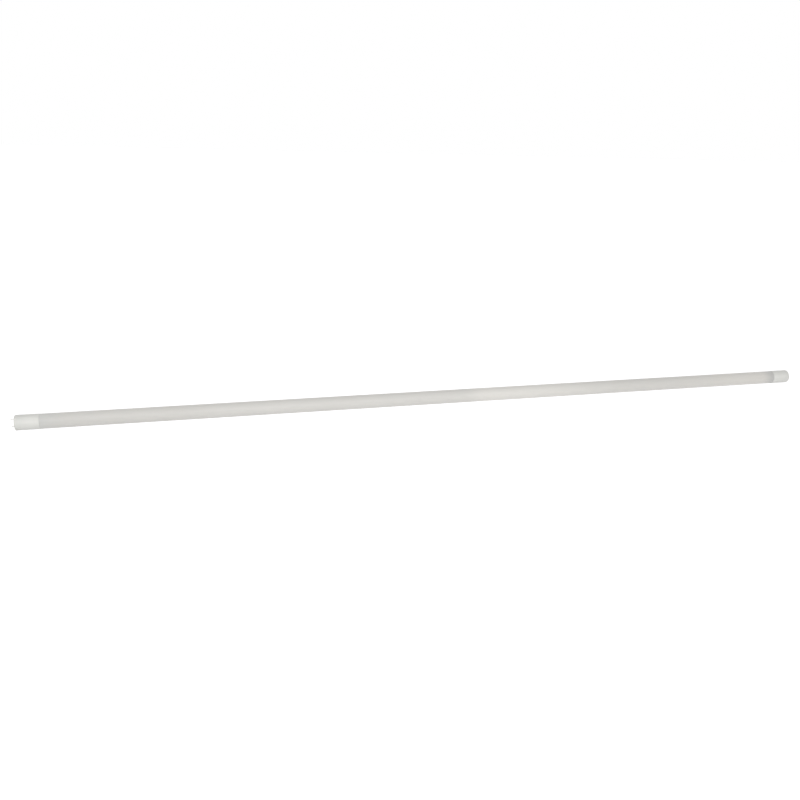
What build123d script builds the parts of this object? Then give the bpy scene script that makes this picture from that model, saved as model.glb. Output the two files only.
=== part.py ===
from build123d import *
import os
from math import floor, sqrt

# A straight LED lamp in a frosted glass tube, with a two-pin cap at each end.
# Millimetres. +X runs from the supply end to the far end and +Z is up. The pins of each cap stand one
# above the other, and the light leaves towards -Y. The origin is the middle of the lamp.

# Whole lamp
face_to_face = 1500.0

# Glass tube
tube_outer = 25.5
tube_wall = 0.8

# Moulded caps, each with a spigot glued into the glass
cap_outer = 26.0
cap_length = 37.3
cap_face = 2.0
cap_rim_radius = 1.0
cap_seam_chamfer = 0.2
spigot_length = 18.0
spigot_wall = 1.2
spigot_lead_in = 0.4
glue_gap = 0.15
glue_ring_length = 10.0

# Contact pins
pin_spacing = 12.7
pin_diameter = 2.35
pin_length = 7.1
pin_tip_radius = 0.7
pin_seat_diameter = 2.8
pin_collar_diameter = 3.6
pin_collar_thickness = 0.8
pin_tail = 3.2

# Light strips, glued along the inside of the glass
led_board_width = 10.0
led_board_thickness = 0.8
led_board_joint = 0.5
led_board_end_gap = 2.0
board_edge_clearance = 0.1
glue_bead_width = 8.0

# Light emitting diodes
led_pitch = 11.5
led_length = 3.5
led_width = 2.8
led_height = 0.7
led_window = 2.2
led_window_depth = 0.25
led_end_margin = 10.0

# Solder bridges between the two strips
link_spacing = 5.0
link_length = 4.0
link_width = 1.4
link_height = 0.3

# Driver board and its insulating sleeve
sleeve_clearance = 0.3
sleeve_wall = 0.4
sleeve_overhang = 1.0
driver_board_thickness = 1.2
pad_margin = 1.25
pad_inset = 3.0
part_gap = 1.2
part_stand_off = 0.2
lead_diameter = 0.6
lead_reach = 1.5

# Insulated wires
wire_diameter = 1.4
pin_wire_run = 5.0
led_wire_spacing = 6.0
led_wire_rise = 2.5
led_wire_pad_inset = 4.0
bridge_wire_reach = 7.0
bend_share = 0.8

# Fuse resistor and varistor, side by side
fuse_diameter = 3.0
fuse_length = 8.0
fuse_edge_radius = 0.5
fuse_offset = 4.0
varistor_diameter = 7.0
varistor_thickness = 4.0
varistor_edge_radius = 1.0
varistor_offset = 3.6
varistor_lead_spacing = 5.0

# Mains filter
choke_diameter = 8.0
choke_height = 9.0
choke_flange = 1.0
choke_column = 4.0
choke_winding_inset = 0.4
film_capacitor_length = 5.0
film_capacitor_width = 11.0
film_capacitor_height = 10.0
film_capacitor_radius = 0.6

# Power inductor: two E halves closed round a bobbin
inductor_length = 13.0
inductor_depth = 5.0
inductor_yoke = 1.6
inductor_outer_leg = 1.6
inductor_centre_leg = 2.8
inductor_headroom = 1.5
bobbin_wall = 0.5
bobbin_clearance = 0.1
bobbin_flange = 0.7
bobbin_depth = 10.0
winding_inset = 0.4

# Output capacitor, lying on the board
can_diameter = 10.0
can_length = 16.0
can_edge_radius = 0.6
can_groove_place = 2.5
can_groove_width = 1.0
can_groove_depth = 0.4
can_lead_spacing = 5.0

# Flat packages on the solder side
package_stand_off = 0.1
package_lead_thickness = 0.2
bridge_length = 4.7
bridge_width = 3.9
bridge_height = 2.4
bridge_lead_count = 2
bridge_lead_pitch = 2.5
bridge_lead_width = 0.65
bridge_span = 6.6
chip_length = 4.9
chip_width = 3.9
chip_height = 1.5
chip_lead_count = 4
chip_lead_pitch = 1.27
chip_lead_width = 0.42
chip_span = 6.0
diode_length = 2.6
diode_width = 4.3
diode_height = 2.2
diode_lead_width = 1.45
diode_span = 5.2

# Places along the lamp, from the sizes above
half_length = face_to_face / 2
left_seam = -half_length + cap_length
spigot_end = left_seam + spigot_length
inner_face = -half_length + cap_face
pin_tail_end = inner_face + pin_collar_thickness + pin_tail
pin_height = pin_spacing / 2

# Round sections that fit in each other
tube_inner = tube_outer - 2 * tube_wall
spigot_outer = tube_inner - 2 * glue_gap
cap_bore = spigot_outer - 2 * spigot_wall
sleeve_outer = cap_bore - 2 * sleeve_clearance
sleeve_inner = sleeve_outer - 2 * sleeve_wall

# The driver board carries the pin wires on its edges, and those edges meet the sleeve
driver_board_width = pin_spacing + 2 * pad_margin
sleeve_reach = sleeve_inner / 2 - board_edge_clearance
driver_back = sqrt(sleeve_reach**2 - (driver_board_width / 2) ** 2)
driver_front = driver_back - driver_board_thickness

# The parts stand on the driver board one after another
driver_start = pin_tail_end + pin_wire_run - pad_inset
pin_pad_place = driver_start + pad_inset
fuse_slot = max(fuse_length + 2 * lead_reach, varistor_thickness)
fuse_place = pin_pad_place + wire_diameter / 2 + part_gap + fuse_slot / 2
choke_place = fuse_place + (fuse_slot + choke_diameter) / 2 + part_gap
film_capacitor_place = choke_place + (choke_diameter + film_capacitor_length) / 2 + part_gap
inductor_place = film_capacitor_place + (film_capacitor_length + inductor_length) / 2 + part_gap
can_place = inductor_place + (inductor_length + can_length) / 2 + lead_reach + lead_diameter + part_gap
led_wire_place = can_place + can_length / 2 + part_gap + wire_diameter / 2
driver_end = led_wire_place + pad_inset

# The strips fill the glass between the sleeve and the far spigot, their edges near the glass
led_start = max(driver_end + sleeve_overhang, spigot_end) + led_board_end_gap
led_end = -spigot_end - led_board_end_gap
led_board_length = (led_end - led_start - led_board_joint) / 2
led_back = sqrt((tube_inner / 2 - board_edge_clearance) ** 2 - (led_board_width / 2) ** 2)
led_front = led_back - led_board_thickness

# Planes whose +Z points away from each board face
parts_side = Plane(origin=(0, driver_front, 0), x_dir=(1, 0, 0), z_dir=(0, -1, 0))
solder_side = Plane(origin=(0, driver_back, 0), x_dir=(1, 0, 0), z_dir=(0, 1, 0))
light_side = Plane(origin=(0, led_front, 0), x_dir=(1, 0, 0), z_dir=(0, -1, 0))


def rod(diameter, start, end):
    """A round rod along X from start to end."""
    return extrude(Plane.YZ.offset(start) * Circle(diameter / 2), end - start)


def pipe(outer, inner, start, end):
    """A round pipe along X from start to end."""
    return extrude(Plane.YZ.offset(start) * (Circle(outer / 2) - Circle(inner / 2)), end - start)


def standing_box(length, width, height):
    """A box that stands on the plane Z = 0."""
    return Box(length, width, height, align=(Align.CENTER, Align.CENTER, Align.MIN))


def standing_cylinder(diameter, height):
    """A cylinder that stands on the plane Z = 0."""
    return Cylinder(diameter / 2, height, align=(Align.CENTER, Align.CENTER, Align.MIN))


def bent_wire(points, diameter):
    """A wire through the points, its corners rounded by a share of the room that its runs leave."""
    runs = [(Vector(b) - Vector(a)).length for a, b in zip(points, points[1:])]
    between_corners = [run / 2 for run in runs[1:-1]]
    radius = bend_share * min([runs[0], runs[-1]] + between_corners)
    start = Plane(origin=points[0], z_dir=Vector(points[1]) - Vector(points[0]))
    return sweep(start * Circle(diameter / 2), path=FilletPolyline(*points, radius=radius))


def frosted_tube():
    """Drawn glass tube, cut square, between the shoulders of the caps."""
    return pipe(tube_outer, tube_inner, left_seam, -left_seam)


def left_cap():
    """Moulding with a rounded rim, one straight bore, a spigot and two pin holes."""
    shell = rod(cap_outer, -half_length, left_seam)
    shell = fillet(shell.edges().group_by(Axis.X)[0], cap_rim_radius)
    shell = chamfer(shell.edges().group_by(Axis.X)[-1], cap_seam_chamfer)
    spigot = rod(spigot_outer, left_seam, spigot_end)
    spigot = chamfer(spigot.edges().group_by(Axis.X)[-1], spigot_lead_in)
    bore = rod(cap_bore, inner_face, spigot_end)
    hole = rod(pin_seat_diameter, -half_length, inner_face)
    return shell + spigot - bore - Pos(Z=pin_height) * hole - Pos(Z=-pin_height) * hole


def left_pin(height):
    """Contact pin: a round tip outside, a thicker seat in the cap's face, a collar and tail inside."""
    shank = rod(pin_diameter, -half_length - pin_length, pin_tail_end)
    shank = fillet(shank.edges().group_by(Axis.X)[0], pin_tip_radius)
    seat = rod(pin_seat_diameter, -half_length, inner_face)
    collar = rod(pin_collar_diameter, inner_face, inner_face + pin_collar_thickness)
    return Pos(Z=height) * (shank + seat + collar)


def left_cap_glue():
    """Cured adhesive that fills the gap between the spigot and the glass."""
    middle = left_seam + spigot_length / 2
    start = middle - glue_ring_length / 2
    return pipe(tube_inner, spigot_outer, start, start + glue_ring_length)


def left_led_board():
    """Flat strip whose back edges lie along the inside of the glass."""
    place = Pos(led_start, led_front, 0)
    align = (Align.MIN, Align.MIN, Align.CENTER)
    return place * Box(led_board_length, led_board_thickness, led_board_width, align=align)


def board_glue():
    """Silicone bead that fills the curved gap between the strips and the glass."""
    reach = tube_inner / 2 - led_back
    gap = Pos(led_back + reach / 2, 0) * Rectangle(reach, glue_bead_width)
    return extrude(Plane.YZ.offset(led_start) * (Circle(tube_inner / 2) & gap), led_end - led_start)


def led():
    """Moulded diode body with a round, filled window in its face."""
    window = Pos(Z=led_height - led_window_depth) * standing_cylinder(led_window, led_window_depth)
    return standing_box(led_length, led_width, led_height) - window


def left_led_chips():
    """One row of diodes, centred on the left strip."""
    count = floor((led_board_length - 2 * led_end_margin) / led_pitch) + 1
    first = led_start + (led_board_length - (count - 1) * led_pitch) / 2
    return Compound([light_side * Pos(X=first + i * led_pitch) * led() for i in range(count)])


def to_right_strip(part):
    """The same part on the second strip, which follows the first after the joint."""
    return Pos(X=led_board_length + led_board_joint) * part


def board_links():
    """Two solder bridges across the joint of the strips."""
    joint = led_start + led_board_length + led_board_joint / 2
    link = standing_box(link_length, link_width, link_height)
    link = fillet(link.faces().sort_by(Axis.Z)[-1].edges(), link_height / 2)
    sides = [link_spacing / 2, -link_spacing / 2]
    return Compound([light_side * Pos(joint, side, 0) * link for side in sides])


def driver_sleeve():
    """Shrink sleeve round the driver, open at both ends."""
    return pipe(sleeve_outer, sleeve_inner, driver_start - sleeve_overhang, driver_end + sleeve_overhang)


def driver_board():
    """Flat board whose back edges meet the sleeve."""
    place = Pos(driver_start, driver_front, 0)
    size = (driver_end - driver_start, driver_board_thickness, driver_board_width)
    return place * Box(*size, align=(Align.MIN, Align.MIN, Align.CENTER))


def fuse_resistor():
    """Round resistor body on two bent leads."""
    height = part_stand_off + fuse_diameter / 2
    body = fillet(rod(fuse_diameter, -fuse_length / 2, fuse_length / 2).edges(), fuse_edge_radius)
    foot = (fuse_slot - lead_diameter) / 2
    points = [(-foot, 0, 0), (-foot, 0, height), (foot, 0, height), (foot, 0, 0)]
    return Pos(Z=height) * body + bent_wire(points, lead_diameter)


def varistor():
    """Dipped disc that stands on its two leads."""
    height = lead_reach + varistor_diameter / 2
    disc = rod(varistor_diameter, -varistor_thickness / 2, varistor_thickness / 2)
    disc = Pos(Z=height) * fillet(disc.edges(), varistor_edge_radius)
    lead = standing_cylinder(lead_diameter, height)
    side = varistor_lead_spacing / 2
    return disc + Pos(Y=side) * lead + Pos(Y=-side) * lead


def choke_core():
    """Ferrite drum: a column between two flanges."""
    flange = standing_cylinder(choke_diameter, choke_flange)
    column = standing_cylinder(choke_column, choke_height)
    return flange + column + Pos(Z=choke_height - choke_flange) * flange


def choke_winding():
    """Enamelled wire that fills the drum's groove."""
    ring = Circle(choke_diameter / 2 - choke_winding_inset) - Circle(choke_column / 2)
    return Pos(Z=choke_flange) * extrude(ring, choke_height - 2 * choke_flange)


def film_capacitor():
    """Moulded box, rounded on its upright and upper edges."""
    box = standing_box(film_capacitor_length, film_capacitor_width, film_capacitor_height)
    base = box.faces().sort_by(Axis.Z)[0].edges()
    return fillet([edge for edge in box.edges() if edge not in base], film_capacitor_radius)


# The core is as tall as the sleeve leaves room for above its bobbin
inductor_room = driver_front + sqrt(sleeve_reach**2 - (bobbin_depth / 2) ** 2)
inductor_height = inductor_room - inductor_headroom
window_length = (inductor_length - inductor_centre_leg) / 2 - inductor_outer_leg
window_height = inductor_height - 2 * inductor_yoke
column_length = inductor_centre_leg + 2 * (bobbin_clearance + bobbin_wall)
column_depth = inductor_depth + 2 * (bobbin_clearance + bobbin_wall)
flange_length = inductor_centre_leg + 2 * (window_length - bobbin_clearance)


def inductor_core():
    """Ferrite frame with a centre leg between two windows."""
    frame = standing_box(inductor_length, inductor_depth, inductor_height)
    window = Pos(Z=inductor_yoke) * standing_box(window_length, inductor_depth, window_height)
    middle = (inductor_centre_leg + window_length) / 2
    return frame - Pos(X=middle) * window - Pos(X=-middle) * window


def inductor_bobbin():
    """Plastic spool round the centre leg, standing on feet beside the core."""
    flange = standing_box(flange_length, bobbin_depth, bobbin_flange)
    column = standing_box(column_length, column_depth, window_height)
    spool = column + flange + Pos(Z=window_height - bobbin_flange) * flange
    passage_length = inductor_centre_leg + 2 * bobbin_clearance
    passage_depth = inductor_depth + 2 * bobbin_clearance
    spool = Pos(Z=inductor_yoke) * (spool - standing_box(passage_length, passage_depth, window_height))
    foot_depth = (bobbin_depth - passage_depth) / 2
    foot = standing_box(flange_length, foot_depth, inductor_yoke)
    side = (passage_depth + foot_depth) / 2
    return spool + Pos(Y=side) * foot + Pos(Y=-side) * foot


def inductor_winding():
    """Copper wire wound on the spool, between its flanges."""
    turns = Rectangle(flange_length - winding_inset, bobbin_depth - 2 * winding_inset)
    turns = fillet(turns.vertices(), winding_inset)
    height = window_height - 2 * bobbin_flange
    base = inductor_yoke + bobbin_flange
    return Pos(Z=base) * extrude(turns - Rectangle(column_length, column_depth), height)


def electrolytic_capacitor():
    """Sealed can on its side, crimped near the end that its leads leave."""
    end = -can_length / 2
    can = fillet(rod(can_diameter, end, -end).edges(), can_edge_radius)
    groove = end + can_groove_place
    can -= pipe(can_diameter, can_diameter - 2 * can_groove_depth, groove, groove + can_groove_width)
    height = part_stand_off + can_diameter / 2
    foot = end - lead_reach
    points = [(end + can_edge_radius, 0, height), (foot, 0, height), (foot, 0, 0)]
    lead = bent_wire(points, lead_diameter)
    side = can_lead_spacing / 2
    return Pos(Z=height) * can + Pos(Y=side) * lead + Pos(Y=-side) * lead


def package(length, width, height, span, lead_width, lead_count=1, pitch=0.0):
    """Flat moulded package with bent leads on two of its sides."""
    body = Pos(Z=package_stand_off) * standing_box(length, width, height)
    foot_width = (span - width) / 2
    foot = Pos(Y=(width + foot_width) / 2) * standing_box(lead_width, foot_width, package_lead_thickness)
    riser_height = package_stand_off + height / 2
    riser = standing_box(lead_width, package_lead_thickness, riser_height)
    lead = foot + Pos(Y=(width + package_lead_thickness) / 2) * riser
    for i in range(lead_count):
        place = Pos(X=(i - (lead_count - 1) / 2) * pitch)
        body += place * lead + place * mirror(lead, about=Plane.XZ)
    return body


def bridge_rectifier():
    """Four-lead rectifier package."""
    size = (bridge_length, bridge_width, bridge_height)
    return package(*size, bridge_span, bridge_lead_width, bridge_lead_count, bridge_lead_pitch)


def driver_chip():
    """Eight-lead control package."""
    size = (chip_length, chip_width, chip_height)
    return package(*size, chip_span, chip_lead_width, chip_lead_count, chip_lead_pitch)


def output_diode():
    """Two-lead diode package, its leads along the board."""
    size = (diode_length, diode_width, diode_height)
    return Rot(Z=90) * package(*size, diode_span, diode_lead_width)


def pin_wire(height):
    """Wire from a pin's tail to its pad on the driver board."""
    points = [(pin_tail_end, 0, height), (pin_pad_place, 0, height), (pin_pad_place, driver_front, height)]
    return bent_wire(points, wire_diameter)


def led_wire(height):
    """Wire from the driver board, out of the sleeve, to its pad on the left strip."""
    rise = driver_front - led_wire_rise
    pad = led_start + led_wire_pad_inset
    points = [
        (led_wire_place, driver_front, height),
        (led_wire_place, rise, height),
        (pad, rise, height),
        (pad, led_front, height),
    ]
    return bent_wire(points, wire_diameter)


def pin_bridge_wire():
    """Wire that joins the two pins of the far cap."""
    tail = -pin_tail_end
    reach = tail - bridge_wire_reach
    points = [(tail, 0, pin_height), (reach, 0, pin_height), (reach, 0, -pin_height), (tail, 0, -pin_height)]
    return bent_wire(points, wire_diameter)


def at_far_end(part):
    """The same part at the other end of the lamp, mirrored."""
    return mirror(part, about=Plane.YZ)


nodes = {
    "frosted_tube": frosted_tube(),
    "left_cap": left_cap(),
    "right_cap": at_far_end(left_cap()),
    "left_upper_pin": left_pin(pin_height),
    "left_lower_pin": left_pin(-pin_height),
    "right_upper_pin": at_far_end(left_pin(pin_height)),
    "right_lower_pin": at_far_end(left_pin(-pin_height)),
    "left_cap_glue": left_cap_glue(),
    "right_cap_glue": at_far_end(left_cap_glue()),
    "board_glue": board_glue(),
    "left_led_board": left_led_board(),
    "right_led_board": to_right_strip(left_led_board()),
    "left_led_chips": left_led_chips(),
    "right_led_chips": to_right_strip(left_led_chips()),
    "board_links": board_links(),
    "driver_sleeve": driver_sleeve(),
    "driver_board": driver_board(),
    "fuse_resistor": parts_side * Pos(fuse_place, fuse_offset, 0) * fuse_resistor(),
    "varistor": parts_side * Pos(fuse_place, -varistor_offset, 0) * varistor(),
    "choke_core": parts_side * Pos(X=choke_place) * choke_core(),
    "choke_winding": parts_side * Pos(X=choke_place) * choke_winding(),
    "film_capacitor": parts_side * Pos(X=film_capacitor_place) * film_capacitor(),
    "inductor_core": parts_side * Pos(X=inductor_place) * inductor_core(),
    "inductor_bobbin": parts_side * Pos(X=inductor_place) * inductor_bobbin(),
    "inductor_winding": parts_side * Pos(X=inductor_place) * inductor_winding(),
    "electrolytic_capacitor": parts_side * Pos(X=can_place) * electrolytic_capacitor(),
    "bridge_rectifier": solder_side * Pos(X=choke_place) * bridge_rectifier(),
    "driver_chip": solder_side * Pos(X=inductor_place) * driver_chip(),
    "output_diode": solder_side * Pos(X=can_place) * output_diode(),
    "live_wire": pin_wire(pin_height),
    "neutral_wire": pin_wire(-pin_height),
    "led_positive_wire": led_wire(led_wire_spacing / 2),
    "led_negative_wire": led_wire(-led_wire_spacing / 2),
    "pin_bridge_wire": pin_bridge_wire(),
}

os.makedirs("parts", exist_ok=True)
for name, shape in nodes.items():
    export_step(shape, f"parts/{name}.step")
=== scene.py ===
import math

import bpy
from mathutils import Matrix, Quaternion, Vector


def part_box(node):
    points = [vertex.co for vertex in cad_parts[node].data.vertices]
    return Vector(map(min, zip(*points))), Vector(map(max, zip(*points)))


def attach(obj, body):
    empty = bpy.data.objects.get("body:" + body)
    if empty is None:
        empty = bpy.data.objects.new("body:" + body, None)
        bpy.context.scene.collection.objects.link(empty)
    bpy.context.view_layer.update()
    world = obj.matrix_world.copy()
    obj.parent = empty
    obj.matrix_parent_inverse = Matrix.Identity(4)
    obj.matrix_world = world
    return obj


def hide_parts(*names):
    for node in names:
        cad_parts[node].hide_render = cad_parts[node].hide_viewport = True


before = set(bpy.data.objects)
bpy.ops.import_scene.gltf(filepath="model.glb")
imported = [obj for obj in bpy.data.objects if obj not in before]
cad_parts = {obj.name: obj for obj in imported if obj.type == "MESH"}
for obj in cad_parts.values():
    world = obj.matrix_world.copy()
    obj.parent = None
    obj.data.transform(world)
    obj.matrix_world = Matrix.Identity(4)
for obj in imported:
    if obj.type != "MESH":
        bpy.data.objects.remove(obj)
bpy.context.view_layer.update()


# Frosted glass tube
# The envelope of the lamp: a drawn glass tube, etched all over to a fine matt skin.
# Its cut ends are rounded in the flame and lie against the shoulders of the caps.

glass_radius = 0.01275
glass_wall = 0.0008
glass_end_rounding = 0.0003
glass_end_segments = 3
round_segments = 128
smooth_below = math.radians(30)


def add_cylinder(name, radius, start, end, segments=round_segments, ends="NGON"):
    """A cylinder along X from start to end, its place in its mesh."""
    bpy.ops.object.select_all(action="DESELECT")
    bpy.ops.mesh.primitive_cylinder_add(
        vertices=segments,
        radius=radius,
        depth=end - start,
        end_fill_type=ends,
        location=((start + end) / 2, 0, 0),
        rotation=(0, math.pi / 2, 0),
    )
    piece = bpy.context.object
    piece.name = piece.data.name = name
    bpy.ops.object.transform_apply(location=True, rotation=True, scale=True)
    return piece


def apply_modifier(piece, kind, **settings):
    """Adds a modifier with these settings and applies it."""
    modifier = piece.modifiers.new(kind.title(), kind)
    for setting, value in settings.items():
        setattr(modifier, setting, value)
    bpy.context.view_layer.objects.active = piece
    bpy.ops.object.modifier_apply(modifier=modifier.name)


def select_only(piece):
    """Selects this piece alone and makes it active."""
    bpy.ops.object.select_all(action="DESELECT")
    piece.select_set(True)
    bpy.context.view_layer.objects.active = piece


def smooth(piece):
    """Smooth shading, with the real edges left crisp."""
    select_only(piece)
    bpy.ops.object.shade_smooth_by_angle(angle=smooth_below)


def set_inputs(tree, node, values):
    """Gives a node's inputs their values: each is a constant or another node's socket."""
    for name, value in values.items():
        socket = next(s for s in node.inputs if name in (s.identifier, s.name))
        if isinstance(value, bpy.types.NodeSocket):
            tree.links.new(value, socket)
        else:
            socket.default_value = value


def add_node(tree, kind, values, **settings):
    """A node with these settings, its inputs filled."""
    node = tree.nodes.new("ShaderNode" + kind)
    for setting, value in settings.items():
        setattr(node, setting, value)
    set_inputs(tree, node, values)
    return node


def calculate(tree, operation, first, second=0.0, third=0.0):
    """The result of a Math node."""
    values = {"Value": first, "Value_001": second, "Value_002": third}
    return add_node(tree, "Math", values, operation=operation).outputs["Value"]


def ramp(tree, value, start, end, low=0.0, high=1.0):
    """A smooth step from low to high while the value goes from start to end."""
    values = {"Value": value, "From Min": start, "From Max": end, "To Min": low, "To Max": high}
    return add_node(tree, "MapRange", values, interpolation_type="SMOOTHSTEP").outputs["Result"]


def noise(tree, place, scale, detail):
    """The value of a Noise texture."""
    return add_node(tree, "TexNoise", {"Vector": place, "Scale": scale, "Detail": detail}).outputs["Fac"]


def lay_colour(tree, mask, under, over):
    """The under colour, with the over colour laid on it where the mask is 1."""
    values = {"Factor_Float": mask, "A_Color": under, "B_Color": over}
    mix = add_node(tree, "Mix", values, data_type="RGBA")
    return next(s for s in mix.outputs if s.identifier == "Result_Color")


def new_group(name, inputs, outputs):
    """An empty node group with these sockets, each a name and a kind."""
    group = bpy.data.node_groups.new(name, "ShaderNodeTree")
    for in_out, sockets in (("INPUT", inputs), ("OUTPUT", outputs)):
        for socket, kind in sockets.items():
            group.interface.new_socket(socket, in_out=in_out, socket_type="NodeSocket" + kind)
    return group, group.nodes.new("NodeGroupInput").outputs, group.nodes.new("NodeGroupOutput")


# Every finish has a slow, cloudy change of shade and a fine grain, and its roughness follows both
cloud_detail = 3.0
grain_detail = 2.0
cloud_contrast = (0.3, 0.7)
skin_inputs = {
    "Vector": "Vector",
    "Cloud Scale": "Float",
    "Grain Scale": "Float",
    "Roughness": "Float",
    "Spread": "Float",
}
skin_outputs = {"Cloud": "Float", "Roughness": "Float", "Height": "Float"}
surface_skin, given, result = new_group("surface_skin", skin_inputs, skin_outputs)
cloud_noise = noise(surface_skin, given["Vector"], given["Cloud Scale"], cloud_detail)
grain = noise(surface_skin, given["Vector"], given["Grain Scale"], grain_detail)
cloud = ramp(surface_skin, cloud_noise, *cloud_contrast)
unevenness = calculate(surface_skin, "SUBTRACT", calculate(surface_skin, "ADD", cloud, grain), 1.0)
uneven_gloss = calculate(surface_skin, "MULTIPLY_ADD", unevenness, given["Spread"], given["Roughness"])
set_inputs(surface_skin, result, {"Cloud": cloud, "Roughness": uneven_gloss, "Height": grain})


class Finish:
    """A material whose colour, roughness and relief come from the surface skin."""

    def __init__(
        self, name, colour, shade, roughness, cloud, grain, relief,
        spread=0.06, stretch=(1, 1, 1), metallic=0.0,
    ):
        self.material = bpy.data.materials.new(name)
        self.material.use_nodes = True
        self.tree = self.material.node_tree
        self.shader = self.tree.nodes["Principled BSDF"]
        self.shader.inputs["Metallic"].default_value = metallic
        self.place = self.tree.nodes.new("ShaderNodeTexCoord").outputs["Object"]
        stretched = add_node(self.tree, "Mapping", {"Vector": self.place, "Scale": stretch})
        skin = self.tree.nodes.new("ShaderNodeGroup")
        skin.node_tree = surface_skin
        values = {"Vector": stretched.outputs["Vector"], "Cloud Scale": cloud, "Grain Scale": grain}
        set_inputs(self.tree, skin, {**values, "Roughness": roughness, "Spread": spread})
        self.colour = lay_colour(self.tree, skin.outputs["Cloud"], (*colour, 1), (*shade, 1))
        self.roughness = skin.outputs["Roughness"]
        self.height = skin.outputs["Height"]
        self.bump = add_node(self.tree, "Bump", {"Height": self.height, "Distance": relief})
        self.connect()

    def connect(self):
        """Joins the colour, roughness and height, as they now are, to the shader."""
        set_inputs(self.tree, self.bump, {"Height": self.height})
        normal = self.bump.outputs["Normal"]
        values = {"Base Color": self.colour, "Roughness": self.roughness, "Normal": normal}
        set_inputs(self.tree, self.shader, values)

    def along(self, axis):
        """The coordinate along one axis."""
        return add_node(self.tree, "SeparateXYZ", {"Vector": self.place}).outputs[axis]

    def calculate(self, operation, *terms):
        """The result of a Math node in this finish."""
        return calculate(self.tree, operation, *terms)

    def lay(self, mask, colour):
        """Lays a colour on the finish where the mask is 1."""
        self.colour = lay_colour(self.tree, mask, self.colour, (*colour, 1))

    def raise_by(self, mask, amount):
        """Raises the relief by an amount where the mask is 1."""
        self.height = self.calculate("MULTIPLY_ADD", mask, amount, self.height)


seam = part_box("frosted_tube")[1].x
glass_tube = add_cylinder("glass_tube", glass_radius, -seam, seam, ends="NOTHING")
apply_modifier(glass_tube, "SOLIDIFY", thickness=glass_wall, offset=-1)
apply_modifier(glass_tube, "BEVEL", width=glass_end_rounding, segments=glass_end_segments)
smooth(glass_tube)

# Painted shade darkens the etched skin over each spigot and its glue, where the caps keep light out of
# the tube.
# A painted highlight makes it paler for a stretch beyond the middle, and painted light makes the far
# part paler.
near_shadow_length = 0.045
far_shadow_length = 0.03
painted_highlight_start = (0.02, 0.07)
painted_highlight_end = (0.15, 0.38)
painted_light_far_start = (0.45, 0.65)
near_shadow_colour = (0.643, 0.641, 0.62)
far_shadow_colour = (0.558, 0.555, 0.54)
painted_highlight_colour = (0.718, 0.703, 0.669)
painted_light_far_colour = (0.708, 0.689, 0.653)
diffuse_roughness = 0.41

frosting = Finish(
    "frosted_glass_skin", colour=(0.664, 0.651, 0.624), shade=(0.648, 0.636, 0.608),
    roughness=0.45, cloud=5.0, grain=3500.0, relief=0.00001, stretch=(1, 0.3, 0.3),
)
along_tube = frosting.along("X")
# Painted shade by the near cap: a darker tone that fades out along the tube
near_shadow = ramp(frosting.tree, along_tube, -seam, -seam + near_shadow_length, 1.0, 0.0)
frosting.lay(near_shadow, near_shadow_colour)
# Painted highlight: a paler stretch beyond the middle, standing in for a soft reflection of the lights
highlight_starts = ramp(frosting.tree, along_tube, *painted_highlight_start)
highlight_ends = ramp(frosting.tree, along_tube, *painted_highlight_end, 1.0, 0.0)
frosting.lay(frosting.calculate("MULTIPLY", highlight_starts, highlight_ends), painted_highlight_colour)
# Painted light: the far part is paler, standing in for how the light falls along the tube
frosting.lay(ramp(frosting.tree, along_tube, *painted_light_far_start), painted_light_far_colour)
# Painted shade by the far cap, darkest at the seam
far_shadow = ramp(frosting.tree, along_tube, seam - far_shadow_length, seam)
frosting.lay(far_shadow, far_shadow_colour)
frosting.connect()
frosting.shader.inputs["Diffuse Roughness"].default_value = diffuse_roughness
glass_tube.data.materials.append(frosting.material)
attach(glass_tube, "root")
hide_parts("frosted_tube")


# Caps
# Each cap is one white polycarbonate moulding with a satin skin: a cup with a rounded rim, and a
# spigot that is glued into the glass. Its end wall has a counterbore round each pin and a gate mark.

cap_radius = 0.013
cap_face_wall = 0.002
cap_rim = 0.001
cap_rim_segments = 12
cap_shoulder_chamfer = 0.0002
spigot_radius = 0.0118
spigot_length = 0.018
spigot_wall = 0.0012
spigot_lead_in = 0.0004
pin_height = 0.00635
pin_seat_radius = 0.0014
counterbore_radius = 0.0025
counterbore_depth = 0.0003
counterbore_edge = 0.00012
counterbore_segments = 64
gate_radius = 0.0009
gate_segments = 32
hair = 0.00002
cap_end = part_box("left_cap")[0].x


def edit(piece, mode, wanted):
    """Opens the piece in edit mode with the wanted faces or edges selected."""
    if bpy.context.mode != "OBJECT":
        bpy.ops.object.mode_set(mode="OBJECT")
    select_only(piece)
    bpy.ops.object.mode_set(mode="EDIT")
    bpy.ops.mesh.select_mode(type=mode)
    bpy.ops.mesh.select_all(action="DESELECT")
    bpy.ops.object.mode_set(mode="OBJECT")
    mesh = piece.data
    for part in mesh.polygons if mode == "FACE" else mesh.edges:
        part.select = wanted([mesh.vertices[i].co for i in part.vertices])
    bpy.ops.object.mode_set(mode="EDIT")


def ring_at(place, radius, height=0.0):
    """Chooses what lies on the circle of this radius at this place along the lamp."""
    def on_circle(corner):
        from_axis = math.hypot(corner.y, corner.z - height)
        return abs(corner.x - place) < hair and abs(from_axis - radius) < hair

    def wanted(corners):
        return all(on_circle(corner) for corner in corners)

    return wanted


def draw_out(reach):
    """Extrudes the selected end face along the lamp."""
    bpy.ops.mesh.extrude_region_move(TRANSFORM_OT_translate={"value": (reach, 0, 0)})


def step_to(place, ratio):
    """A shoulder: the selected end face gets a new face in its plane, this many times as wide."""
    bpy.ops.mesh.extrude_region_move(TRANSFORM_OT_translate={"value": (0, 0, 0)})
    bpy.ops.transform.resize(value=(1, ratio, ratio), center_override=(place, 0, 0))


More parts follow.
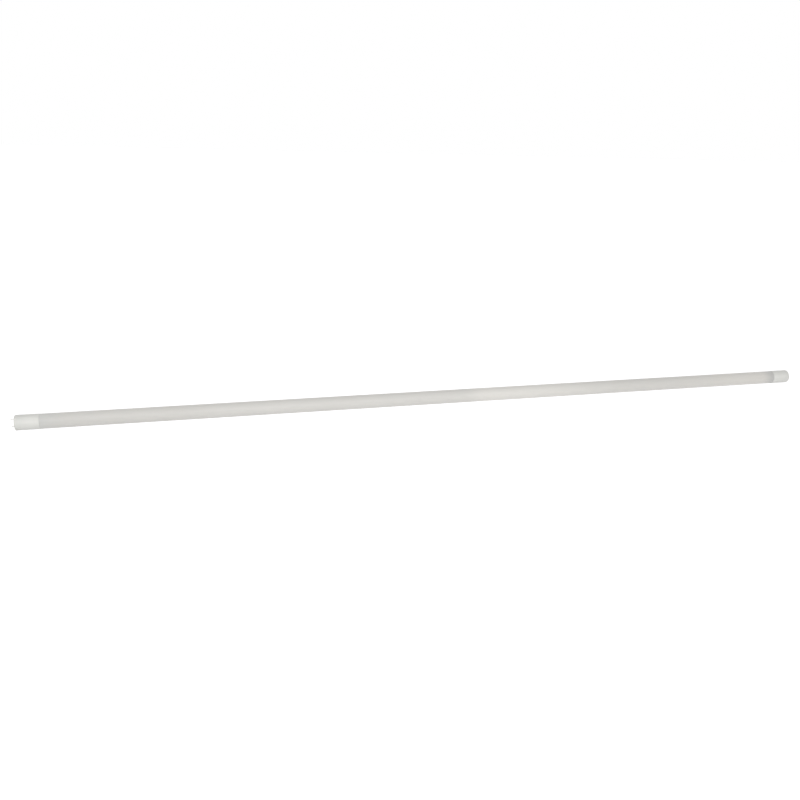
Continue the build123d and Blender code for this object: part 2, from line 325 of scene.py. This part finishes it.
def moved(piece, offset=(0, 0, 0), turned=False):
    """Moves the piece, or turns it about the upright axis, inside its mesh."""
    select_only(piece)
    piece.location = offset
    piece.rotation_euler = (0, 0, math.pi if turned else 0)
    bpy.ops.object.transform_apply(location=True, rotation=True, scale=True)
    return piece


def copied(piece, name, offset=(0, 0, 0), turned=False):
    """A copy with its own mesh, moved or turned."""
    select_only(piece)
    bpy.ops.object.duplicate(linked=False)
    copy = bpy.context.object
    copy.name = copy.data.name = name
    return moved(copy, offset, turned)


left_end_cap = add_cylinder("left_end_cap", cap_radius, cap_end, -seam)
edit(left_end_cap, "FACE", ring_at(-seam, cap_radius))
bpy.ops.mesh.inset(thickness=cap_radius - spigot_radius)
draw_out(spigot_length)
bpy.ops.mesh.inset(thickness=spigot_wall)
draw_out(cap_end + cap_face_wall - (spigot_length - seam))
edit(left_end_cap, "EDGE", ring_at(cap_end, cap_radius))
bpy.ops.mesh.bevel(offset=cap_rim, segments=cap_rim_segments)
edit(left_end_cap, "EDGE", ring_at(-seam, cap_radius))
bpy.ops.mesh.bevel(offset=cap_shoulder_chamfer, segments=2)
edit(left_end_cap, "EDGE", ring_at(-seam + spigot_length, spigot_radius))
bpy.ops.mesh.bevel(offset=spigot_lead_in, segments=1)
bpy.ops.object.mode_set(mode="OBJECT")

outside_face = cap_end - counterbore_depth
counterbore_floor = cap_end + counterbore_depth
gate_floor = cap_end + counterbore_depth / 2
pin_cutter = add_cylinder(
    "pin_cutter", counterbore_radius, outside_face, counterbore_floor, counterbore_segments
)
edit(pin_cutter, "FACE", ring_at(counterbore_floor, counterbore_radius))
step_to(counterbore_floor, pin_seat_radius / counterbore_radius)
draw_out(cap_face_wall)
bpy.ops.object.mode_set(mode="OBJECT")
gate_cutter = add_cylinder("gate_cutter", gate_radius, outside_face, gate_floor, gate_segments)
cutters = [
    copied(pin_cutter, "lower_pin_cutter", (0, 0, -pin_height)),
    moved(pin_cutter, (0, 0, pin_height)),
    gate_cutter,
]
for cutter in cutters:
    apply_modifier(left_end_cap, "BOOLEAN", operation="DIFFERENCE", solver="EXACT", object=cutter)
    bpy.data.objects.remove(cutter)
for height in (pin_height, -pin_height):
    edit(left_end_cap, "EDGE", ring_at(cap_end, counterbore_radius, height))
    bpy.ops.mesh.bevel(offset=counterbore_edge, segments=2)
bpy.ops.object.mode_set(mode="OBJECT")
smooth(left_end_cap)

moulded_white = Finish(
    "moulded_cap_white", colour=(0.728, 0.727, 0.695), shade=(0.71, 0.709, 0.677),
    roughness=0.42, cloud=60.0, grain=2600.0, relief=0.000012,
)
left_end_cap.data.materials.append(moulded_white.material)
right_end_cap = copied(left_end_cap, "right_end_cap", turned=True)
for piece, node in ((left_end_cap, "left_cap"), (right_end_cap, "right_cap")):
    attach(piece, "root")
    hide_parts(node)


# Contact pins
# Two solid brass pins in each cap, plated with nickel: a round tip outside, a thicker seat moulded
# into the end wall, and a collar and tail inside. The pins of a cap stand one above the other.

pin_radius = 0.001175
pin_segments = 48
pin_tip = 0.0007
pin_tip_segments = 8
pin_collar_radius = 0.0018
pin_collar_thickness = 0.0008
pin_tail = 0.0032
pin_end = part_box("left_upper_pin")[0].x
collar_start = cap_end + cap_face_wall
tail_start = collar_start + pin_collar_thickness

contact_pin = add_cylinder("left_upper_contact", pin_radius, pin_end, cap_end, pin_segments)
edit(contact_pin, "FACE", ring_at(cap_end, pin_radius))
step_to(cap_end, pin_seat_radius / pin_radius)
draw_out(cap_face_wall)
step_to(collar_start, pin_collar_radius / pin_seat_radius)
draw_out(pin_collar_thickness)
step_to(tail_start, pin_radius / pin_collar_radius)
draw_out(pin_tail)
edit(contact_pin, "EDGE", ring_at(pin_end, pin_radius))
bpy.ops.mesh.bevel(offset=pin_tip, segments=pin_tip_segments)
bpy.ops.object.mode_set(mode="OBJECT")
smooth(contact_pin)

nickel = Finish(
    "nickel_plate", colour=(0.7, 0.695, 0.685), shade=(0.6, 0.595, 0.585),
    roughness=0.24, cloud=900.0, grain=6000.0, relief=0.000004, stretch=(1, 0.15, 0.15), metallic=1.0,
)
contact_pin.data.materials.append(nickel.material)
contact_pins = {
    "left_lower_pin": copied(contact_pin, "left_lower_contact", (0, 0, -pin_height)),
    "right_upper_pin": copied(contact_pin, "right_upper_contact", (0, 0, pin_height), turned=True),
    "right_lower_pin": copied(contact_pin, "right_lower_contact", (0, 0, -pin_height), turned=True),
    "left_upper_pin": moved(contact_pin, (0, 0, pin_height)),
}
for node, piece in contact_pins.items():
    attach(piece, "root")
    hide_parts(node)


# Glue rings and silicone bead
# Clear adhesive, cured between each spigot and the glass, with small bubbles in it.
# A white silicone bead behind the light strips holds them to the inside of the glass.

bubble_scale = 700.0
bubble_edge = (0.25, 0.15)
bubble_white = (0.82, 0.82, 0.8)


def dress(finish, *nodes):
    """Puts a finish on the CAD nodes."""
    for node in nodes:
        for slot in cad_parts[node].material_slots:
            slot.material = finish.material


adhesive = Finish(
    "cured_adhesive", colour=(0.7, 0.7, 0.66), shade=(0.6, 0.6, 0.56),
    roughness=0.22, cloud=250.0, grain=1500.0, relief=0.00003,
)
bubbles = add_node(adhesive.tree, "TexVoronoi", {"Vector": adhesive.place, "Scale": bubble_scale})
adhesive.lay(ramp(adhesive.tree, bubbles.outputs["Distance"], *bubble_edge), bubble_white)
adhesive.connect()
dress(adhesive, "left_cap_glue", "right_cap_glue")

silicone = Finish(
    "silicone_bead", colour=(0.83, 0.83, 0.79), shade=(0.76, 0.76, 0.72),
    roughness=0.4, cloud=60.0, grain=500.0, relief=0.00008, stretch=(1, 0.4, 0.4),
)
dress(silicone, "board_glue")


# Light strips
# Two laminate strips under white solder mask, end to end along the inside of the glass.
# The copper under the mask stands out as broad tracks, with a gap across at each diode.

led_pitch = 0.0115
led_half_length = 0.00175
track_gap = 0.0004
track_rise = 3.0
over_copper_white = (0.86, 0.86, 0.83)
half_track_in_gaps = 4.0
first_led = {side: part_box(side + "_led_chips")[0].x + led_half_length for side in ("left", "right")}

track_inputs = {"Along": "Float", "Across": "Float", "Pitch": "Float", "Gap": "Float"}
copper_tracks, given, result = new_group("copper_tracks", track_inputs, {"Mask": "Float"})
half_pitch = calculate(copper_tracks, "MULTIPLY", given["Pitch"], 0.5)
to_gap = calculate(copper_tracks, "PINGPONG", given["Along"], half_pitch)
beside_gap = calculate(copper_tracks, "GREATER_THAN", to_gap, given["Gap"])
half_track = calculate(copper_tracks, "MULTIPLY", given["Gap"], half_track_in_gaps)
to_split = calculate(copper_tracks, "PINGPONG", given["Across"], half_track)
beside_split = calculate(copper_tracks, "GREATER_THAN", to_split, given["Gap"])
on_copper = calculate(copper_tracks, "MULTIPLY", beside_gap, beside_split)
set_inputs(copper_tracks, result, {"Mask": on_copper})


def track_mask(finish, pitch, gap, offset=0.0):
    """Where copper lies under the finish, in tracks along X that are cut once in each pitch."""
    tracks = finish.tree.nodes.new("ShaderNodeGroup")
    tracks.node_tree = copper_tracks
    along = finish.calculate("SUBTRACT", finish.along("X"), offset)
    values = {"Along": along, "Across": finish.along("Z"), "Pitch": pitch, "Gap": gap}
    set_inputs(finish.tree, tracks, values)
    return tracks.outputs["Mask"]


for side, offset in first_led.items():
    mask_white = Finish(
        side + "_solder_mask", colour=(0.8, 0.8, 0.77), shade=(0.77, 0.77, 0.74),
        roughness=0.32, cloud=90.0, grain=900.0, relief=0.00001,
    )
    copper = track_mask(mask_white, led_pitch, track_gap, offset)
    mask_white.lay(copper, over_copper_white)
    mask_white.raise_by(copper, track_rise)
    mask_white.connect()
    dress(mask_white, side + "_led_board")


# Light emitting diodes
# Each diode is a white moulded frame with a round window of yellow silicone over its chip.
# They are soldered in one row along the middle of each strip.

led_window_radius = 0.0011
led_window_edge = 0.00005
window_yellow = (0.86, 0.62, 0.08)

for side, offset in first_led.items():
    diode = Finish(
        side + "_diode", colour=(0.86, 0.86, 0.83), shade=(0.8, 0.8, 0.77),
        roughness=0.45, cloud=800.0, grain=3000.0, relief=0.000006,
    )
    from_first = diode.calculate("SUBTRACT", diode.along("X"), offset)
    to_left = diode.calculate("PINGPONG", from_first, led_pitch)
    from_centre = diode.calculate("MINIMUM", to_left, diode.calculate("SUBTRACT", led_pitch, to_left))
    across = diode.calculate("POWER", diode.calculate("ABSOLUTE", diode.along("Z")), 2.0)
    squares = diode.calculate("MULTIPLY_ADD", from_centre, from_centre, across)
    distance = diode.calculate("SQRT", squares)
    window = ramp(diode.tree, distance, led_window_radius, led_window_radius - led_window_edge)
    diode.lay(window, window_yellow)
    diode.connect()
    dress(diode, side + "_led_chips")


# Solder bridges
# Two flat bridges of tin solder, drawn with the iron across the joint of the two strips.
# They join the pads at the strips' ends.

tin = Finish(
    "tin_solder", colour=(0.7, 0.71, 0.73), shade=(0.55, 0.56, 0.58),
    roughness=0.3, cloud=500.0, grain=2500.0, relief=0.00002, metallic=1.0,
)
dress(tin, "board_links")


# Driver board and its sleeve
# The driver is built on a tan paper laminate, its solder side under a green mask, paler over tracks.
# It slides into a shrunk film sleeve that keeps it from touching the pins.

driver_track_pitch = 0.009
driver_track_gap = 0.0007
mask_green = (0.03, 0.16, 0.06)
track_green = (0.06, 0.24, 0.1)


def middle_of(node):
    """The middle of a CAD node's box."""
    low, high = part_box(node)
    return (low + high) / 2


laminate = Finish(
    "driver_laminate_skin", colour=(0.42, 0.3, 0.13), shade=(0.34, 0.24, 0.1),
    roughness=0.4, cloud=120.0, grain=1800.0, relief=0.00001, stretch=(1, 1, 0.3),
)
solder_face = laminate.calculate("GREATER_THAN", laminate.along("Y"), middle_of("driver_board").y)
laminate.lay(solder_face, mask_green)
driver_tracks = track_mask(laminate, driver_track_pitch, driver_track_gap)
masked_tracks = laminate.calculate("MULTIPLY", driver_tracks, solder_face)
laminate.lay(masked_tracks, track_green)
laminate.raise_by(masked_tracks, track_rise)
laminate.connect()
dress(laminate, "driver_board")

film = Finish(
    "sleeve_film_skin", colour=(0.78, 0.78, 0.75), shade=(0.7, 0.7, 0.67),
    roughness=0.18, cloud=70.0, grain=260.0, relief=0.0001, stretch=(0.4, 1, 1),
)
dress(film, "driver_sleeve")


# Fuse resistor and varistor
# A green lacquered resistor with colour rings, and a dipped blue disc, on tinned leads.
# They stand side by side, just after the wires from the pins, and protect the driver.

fuse_half_length = 0.004
ring_half_width = 0.00035
colour_rings = {
    -0.0022: (0.12, 0.04, 0.01),
    -0.0008: (0.01, 0.01, 0.01),
    0.0006: (0.5, 0.34, 0.08),
}
lead_tin = (0.68, 0.69, 0.7)
no_limit = 1.0


def vector_step(tree, operation, first, second=(0, 0, 0)):
    """The result of a Vector Math node."""
    values = {"Vector": first, "Vector_001": second}
    return add_node(tree, "VectorMath", values, operation=operation).outputs["Vector"]


body_inputs = {"Vector": "Vector", "Centre": "Vector", "Half": "Vector"}
beyond_body, given, result = new_group("beyond_body", body_inputs, {"Mask": "Float"})
from_centre = vector_step(beyond_body, "SUBTRACT", given["Vector"], given["Centre"])
distances = vector_step(beyond_body, "ABSOLUTE", from_centre)
over_by = vector_step(beyond_body, "SUBTRACT", distances, given["Half"])
sides = add_node(beyond_body, "SeparateXYZ", {"Vector": over_by}).outputs
furthest = calculate(beyond_body, "MAXIMUM", sides["X"], sides["Y"])
furthest = calculate(beyond_body, "MAXIMUM", furthest, sides["Z"])
set_inputs(beyond_body, result, {"Mask": calculate(beyond_body, "GREATER_THAN", furthest, 0.0)})


def tin_leads(finish, centre, half):
    """Bare tinned metal on all that reaches beyond the body's box."""
    leads = finish.tree.nodes.new("ShaderNodeGroup")
    leads.node_tree = beyond_body
    set_inputs(finish.tree, leads, {"Vector": finish.place, "Centre": centre, "Half": half})
    finish.lay(leads.outputs["Mask"], lead_tin)
    set_inputs(finish.tree, finish.shader, {"Metallic": leads.outputs["Mask"]})


fuse_middle = middle_of("fuse_resistor")
lacquer = Finish(
    "resistor_lacquer", colour=(0.12, 0.26, 0.17), shade=(0.09, 0.2, 0.13),
    roughness=0.35, cloud=400.0, grain=2500.0, relief=0.00001,
)
from_middle = lacquer.calculate("SUBTRACT", lacquer.along("X"), fuse_middle.x)
for place, ring in colour_rings.items():
    from_ring = lacquer.calculate("ABSOLUTE", lacquer.calculate("SUBTRACT", from_middle, place))
    lacquer.lay(lacquer.calculate("LESS_THAN", from_ring, ring_half_width), ring)
tin_leads(lacquer, fuse_middle, (fuse_half_length, no_limit, no_limit))
lacquer.connect()
dress(lacquer, "fuse_resistor")

varistor_low, varistor_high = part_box("varistor")
disc_height = varistor_high.z - varistor_low.z
dipped = Finish(
    "dipped_resin", colour=(0.02, 0.08, 0.3), shade=(0.015, 0.06, 0.24),
    roughness=0.25, cloud=300.0, grain=900.0, relief=0.00004,
)
tin_leads(dipped, (0, varistor_low.y, 0), (no_limit, disc_height, no_limit))
dipped.connect()
dress(dipped, "varistor")


# Mains filter
# A drum of grey ferrite wound with enamelled copper, and a moulded red film capacitor.
# They stand next to each other on the board, on leads soldered through it.

turn_pitch = 0.0003

ferrite = Finish(
    "grey_ferrite", colour=(0.045, 0.045, 0.05), shade=(0.03, 0.03, 0.034),
    roughness=0.6, cloud=500.0, grain=3500.0, relief=0.00002,
)
dress(ferrite, "choke_core", "inductor_core")

enamel = Finish(
    "enamelled_copper", colour=(0.42, 0.13, 0.03), shade=(0.3, 0.08, 0.02),
    roughness=0.28, cloud=300.0, grain=2500.0, relief=0.00003,
)
turns = enamel.calculate("PINGPONG", enamel.along("Y"), turn_pitch / 2)
enamel.raise_by(ramp(enamel.tree, turns, 0.0, turn_pitch / 2), 1.0)
enamel.connect()
dress(enamel, "choke_winding")

red_resin = Finish(
    "red_moulded_resin", colour=(0.4, 0.03, 0.02), shade=(0.32, 0.022, 0.015),
    roughness=0.35, cloud=250.0, grain=1800.0, relief=0.00002,
)
dress(red_resin, "film_capacitor")


# Power inductor
# Two ferrite halves close round a black moulded spool.
# The spool is wound with copper under yellow polyester tape.

spool = Finish(
    "black_spool", colour=(0.018, 0.018, 0.018), shade=(0.012, 0.012, 0.012),
    roughness=0.5, cloud=300.0, grain=2600.0, relief=0.00001,
)
dress(spool, "inductor_bobbin")

tape = Finish(
    "yellow_tape", colour=(0.68, 0.42, 0.02), shade=(0.6, 0.36, 0.015),
    roughness=0.25, cloud=220.0, grain=700.0, relief=0.00002,
)
dress(tape, "inductor_winding")


# Output capacitor
# An aluminium can, crimped near its leads, that lies along the board.
# It is in a dark shrunk sleeve with one pale stripe along it.

can_half_length = 0.008
can_bare_end = 0.0002
stripe_half_width = 0.0011
stripe_grey = (0.5, 0.52, 0.55)

can_middle = Vector((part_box("electrolytic_capacitor")[1].x - can_half_length, 0, 0))
can_sleeve = Finish(
    "can_sleeve", colour=(0.012, 0.016, 0.03), shade=(0.02, 0.026, 0.045),
    roughness=0.3, cloud=200.0, grain=1200.0, relief=0.00002,
)
from_stripe = can_sleeve.calculate("ABSOLUTE", can_sleeve.along("Z"))
can_sleeve.lay(can_sleeve.calculate("LESS_THAN", from_stripe, stripe_half_width), stripe_grey)
tin_leads(can_sleeve, can_middle, (can_half_length - can_bare_end, no_limit, no_limit))
can_sleeve.connect()
dress(can_sleeve, "electrolytic_capacitor")


# Flat packages on the solder side
# Black moulded packages with tinned leads: rectifier, control chip and output diode.
# They are soldered flat to the tracks on that side.

package_half_width = 0.00195
diode_half_length = 0.00215
leads_across = (no_limit, no_limit, package_half_width)
leads_along = (diode_half_length, no_limit, no_limit)
packages = {
    "bridge_rectifier": leads_across,
    "driver_chip": leads_across,
    "output_diode": leads_along,
}

for node, half in packages.items():
    resin = Finish(
        node + "_resin", colour=(0.012, 0.012, 0.013), shade=(0.02, 0.02, 0.021),
        roughness=0.55, cloud=600.0, grain=4000.0, relief=0.000012,
    )
    tin_leads(resin, middle_of(node), half)
    resin.connect()
    dress(resin, node)


# Wires
# Stranded copper in soft insulation, its ends soldered or crimped.
# They are red and black on the driver, with a white link between the pins of the far cap.

wires = {
    "red_insulation_skin": {
        "colours": ((0.42, 0.02, 0.015), (0.34, 0.015, 0.012)),
        "nodes": ("live_wire", "led_positive_wire"),
    },
    "black_insulation_skin": {
        "colours": ((0.014, 0.014, 0.014), (0.02, 0.02, 0.02)),
        "nodes": ("neutral_wire", "led_negative_wire"),
    },
    "white_insulation_skin": {
        "colours": ((0.74, 0.74, 0.7), (0.68, 0.68, 0.64)),
        "nodes": ("pin_bridge_wire",),
    },
}
for name, wire in wires.items():
    insulation = Finish(
        name, *wire["colours"], roughness=0.42, cloud=300.0, grain=1600.0, relief=0.00002
    )
    dress(insulation, *wire["nodes"])


# Floor and backdrop
# A plain pale floor, well below the lamp, which is held by its pins.
# The camera and the reflections see floor and backdrop white; the light on the lamp stays soft.

floor_drop = 0.3
floor_size = 14.0
floor_lift = 0.7
ambient = 0.345
white = (1, 1, 1, 1)


def seen_directly(tree):
    """1 for the camera and for what is seen in or through the lamp, and 0 for light falling on it."""
    rays = tree.nodes.new("ShaderNodeLightPath").outputs
    seen = calculate(tree, "MAXIMUM", rays["Is Camera Ray"], rays["Is Glossy Ray"])
    return calculate(tree, "MAXIMUM", seen, rays["Is Transmission Ray"])


bpy.ops.object.select_all(action="DESELECT")
bpy.ops.mesh.primitive_plane_add(size=floor_size, location=(0, 0, -floor_drop))
floor = bpy.context.object
floor.name = floor.data.name = "pale_floor"
bpy.ops.object.transform_apply(location=True, rotation=True, scale=True)
painted = Finish(
    "pale_floor_paint", colour=(0.7, 0.7, 0.7), shade=(0.69, 0.69, 0.69),
    roughness=0.7, cloud=3.0, grain=300.0, relief=0.00002,
)
painted.shader.inputs["Emission Color"].default_value = white
lift = painted.calculate("MULTIPLY", seen_directly(painted.tree), floor_lift)
set_inputs(painted.tree, painted.shader, {"Emission Strength": lift})
floor.data.materials.append(painted.material)

world = bpy.data.worlds.new("white_studio")
bpy.context.scene.world = world
world.use_nodes = True
studio = world.node_tree
studio.nodes.clear()
soft_fill = add_node(studio, "Background", {"Color": white, "Strength": ambient})
white_wall = add_node(studio, "Background", {"Color": white, "Strength": 1.0})
shown = add_node(studio, "MixShader", {"Fac": seen_directly(studio)})
studio.links.new(soft_fill.outputs["Background"], shown.inputs[1])
studio.links.new(white_wall.outputs["Background"], shown.inputs[2])
surface = studio.nodes.new("ShaderNodeOutputWorld").inputs["Surface"]
studio.links.new(shown.outputs["Shader"], surface)


# Studio light
# A broad soft box in front, one close to the near end and one behind are aimed at the lamp's middle.
# One long strip hangs over the lamp and one is low in front of it, each aimed squarely across it.
# The box behind is kept out of the gloss, where it would draw a bright line along the glass.

middle = Vector((0, 0, 0))
softboxes = {
    "broad_softbox": (Vector((0.2, -2.0, 0.9)), middle, (2.4, 1.4), 21.2),
    "near_softbox": (Vector((-0.72, -0.5, 0.52)), middle, (0.8, 0.8), 1.95),
    "back_softbox": (Vector((0.0, 1.6, 0.25)), middle, (2.4, 0.9), 9.0),
    "top_strip": (Vector((0.25, -0.15, 1.0)), Vector((0.25, 0, 0)), (1.4, 0.4), 2.05),
    "low_strip": (Vector((0.1, -0.6, -0.24)), Vector((0.1, 0, 0)), (1.4, 0.08), 1.02),
}
for name, (place, aim, size, power) in softboxes.items():
    bpy.ops.object.light_add(type="AREA", location=place)
    softbox = bpy.context.object
    softbox.name = name
    softbox.rotation_euler = (aim - place).to_track_quat("-Z", "Y").to_euler()
    softbox.data.shape = "RECTANGLE"
    softbox.data.size, softbox.data.size_y = size
    softbox.data.energy = power
    softbox.visible_camera = False
    softbox.visible_glossy = name != "back_softbox"


# Camera
# It stands in front of the near end, above the lamp, and is tilted a little.
# The whole lamp fills the width of the picture.

camera_target = Vector((-0.0972, 0, -0.0011))
camera_azimuth = math.radians(-15.482)
camera_elevation = math.radians(24.0)
camera_roll = math.radians(2.953)
camera_distance = 1.39203
camera_lens = 33.75
camera_sensor = 36.0
camera_nearest = 0.05

backwards = Vector((
    math.sin(camera_azimuth) * math.cos(camera_elevation),
    -math.cos(camera_azimuth) * math.cos(camera_elevation),
    math.sin(camera_elevation),
))
looking = (-backwards).to_track_quat("-Z", "Y")
bpy.ops.object.camera_add(location=camera_target + camera_distance * backwards)
camera = bpy.context.object
camera.name = "camera"
camera.rotation_mode = "QUATERNION"
camera.rotation_quaternion = looking @ Quaternion((0, 0, 1), camera_roll)
camera.data.lens = camera_lens
camera.data.sensor_width = camera_sensor
camera.data.clip_start = camera_nearest
bpy.context.scene.camera = camera
bpy.context.scene.view_settings.view_transform = "Standard"
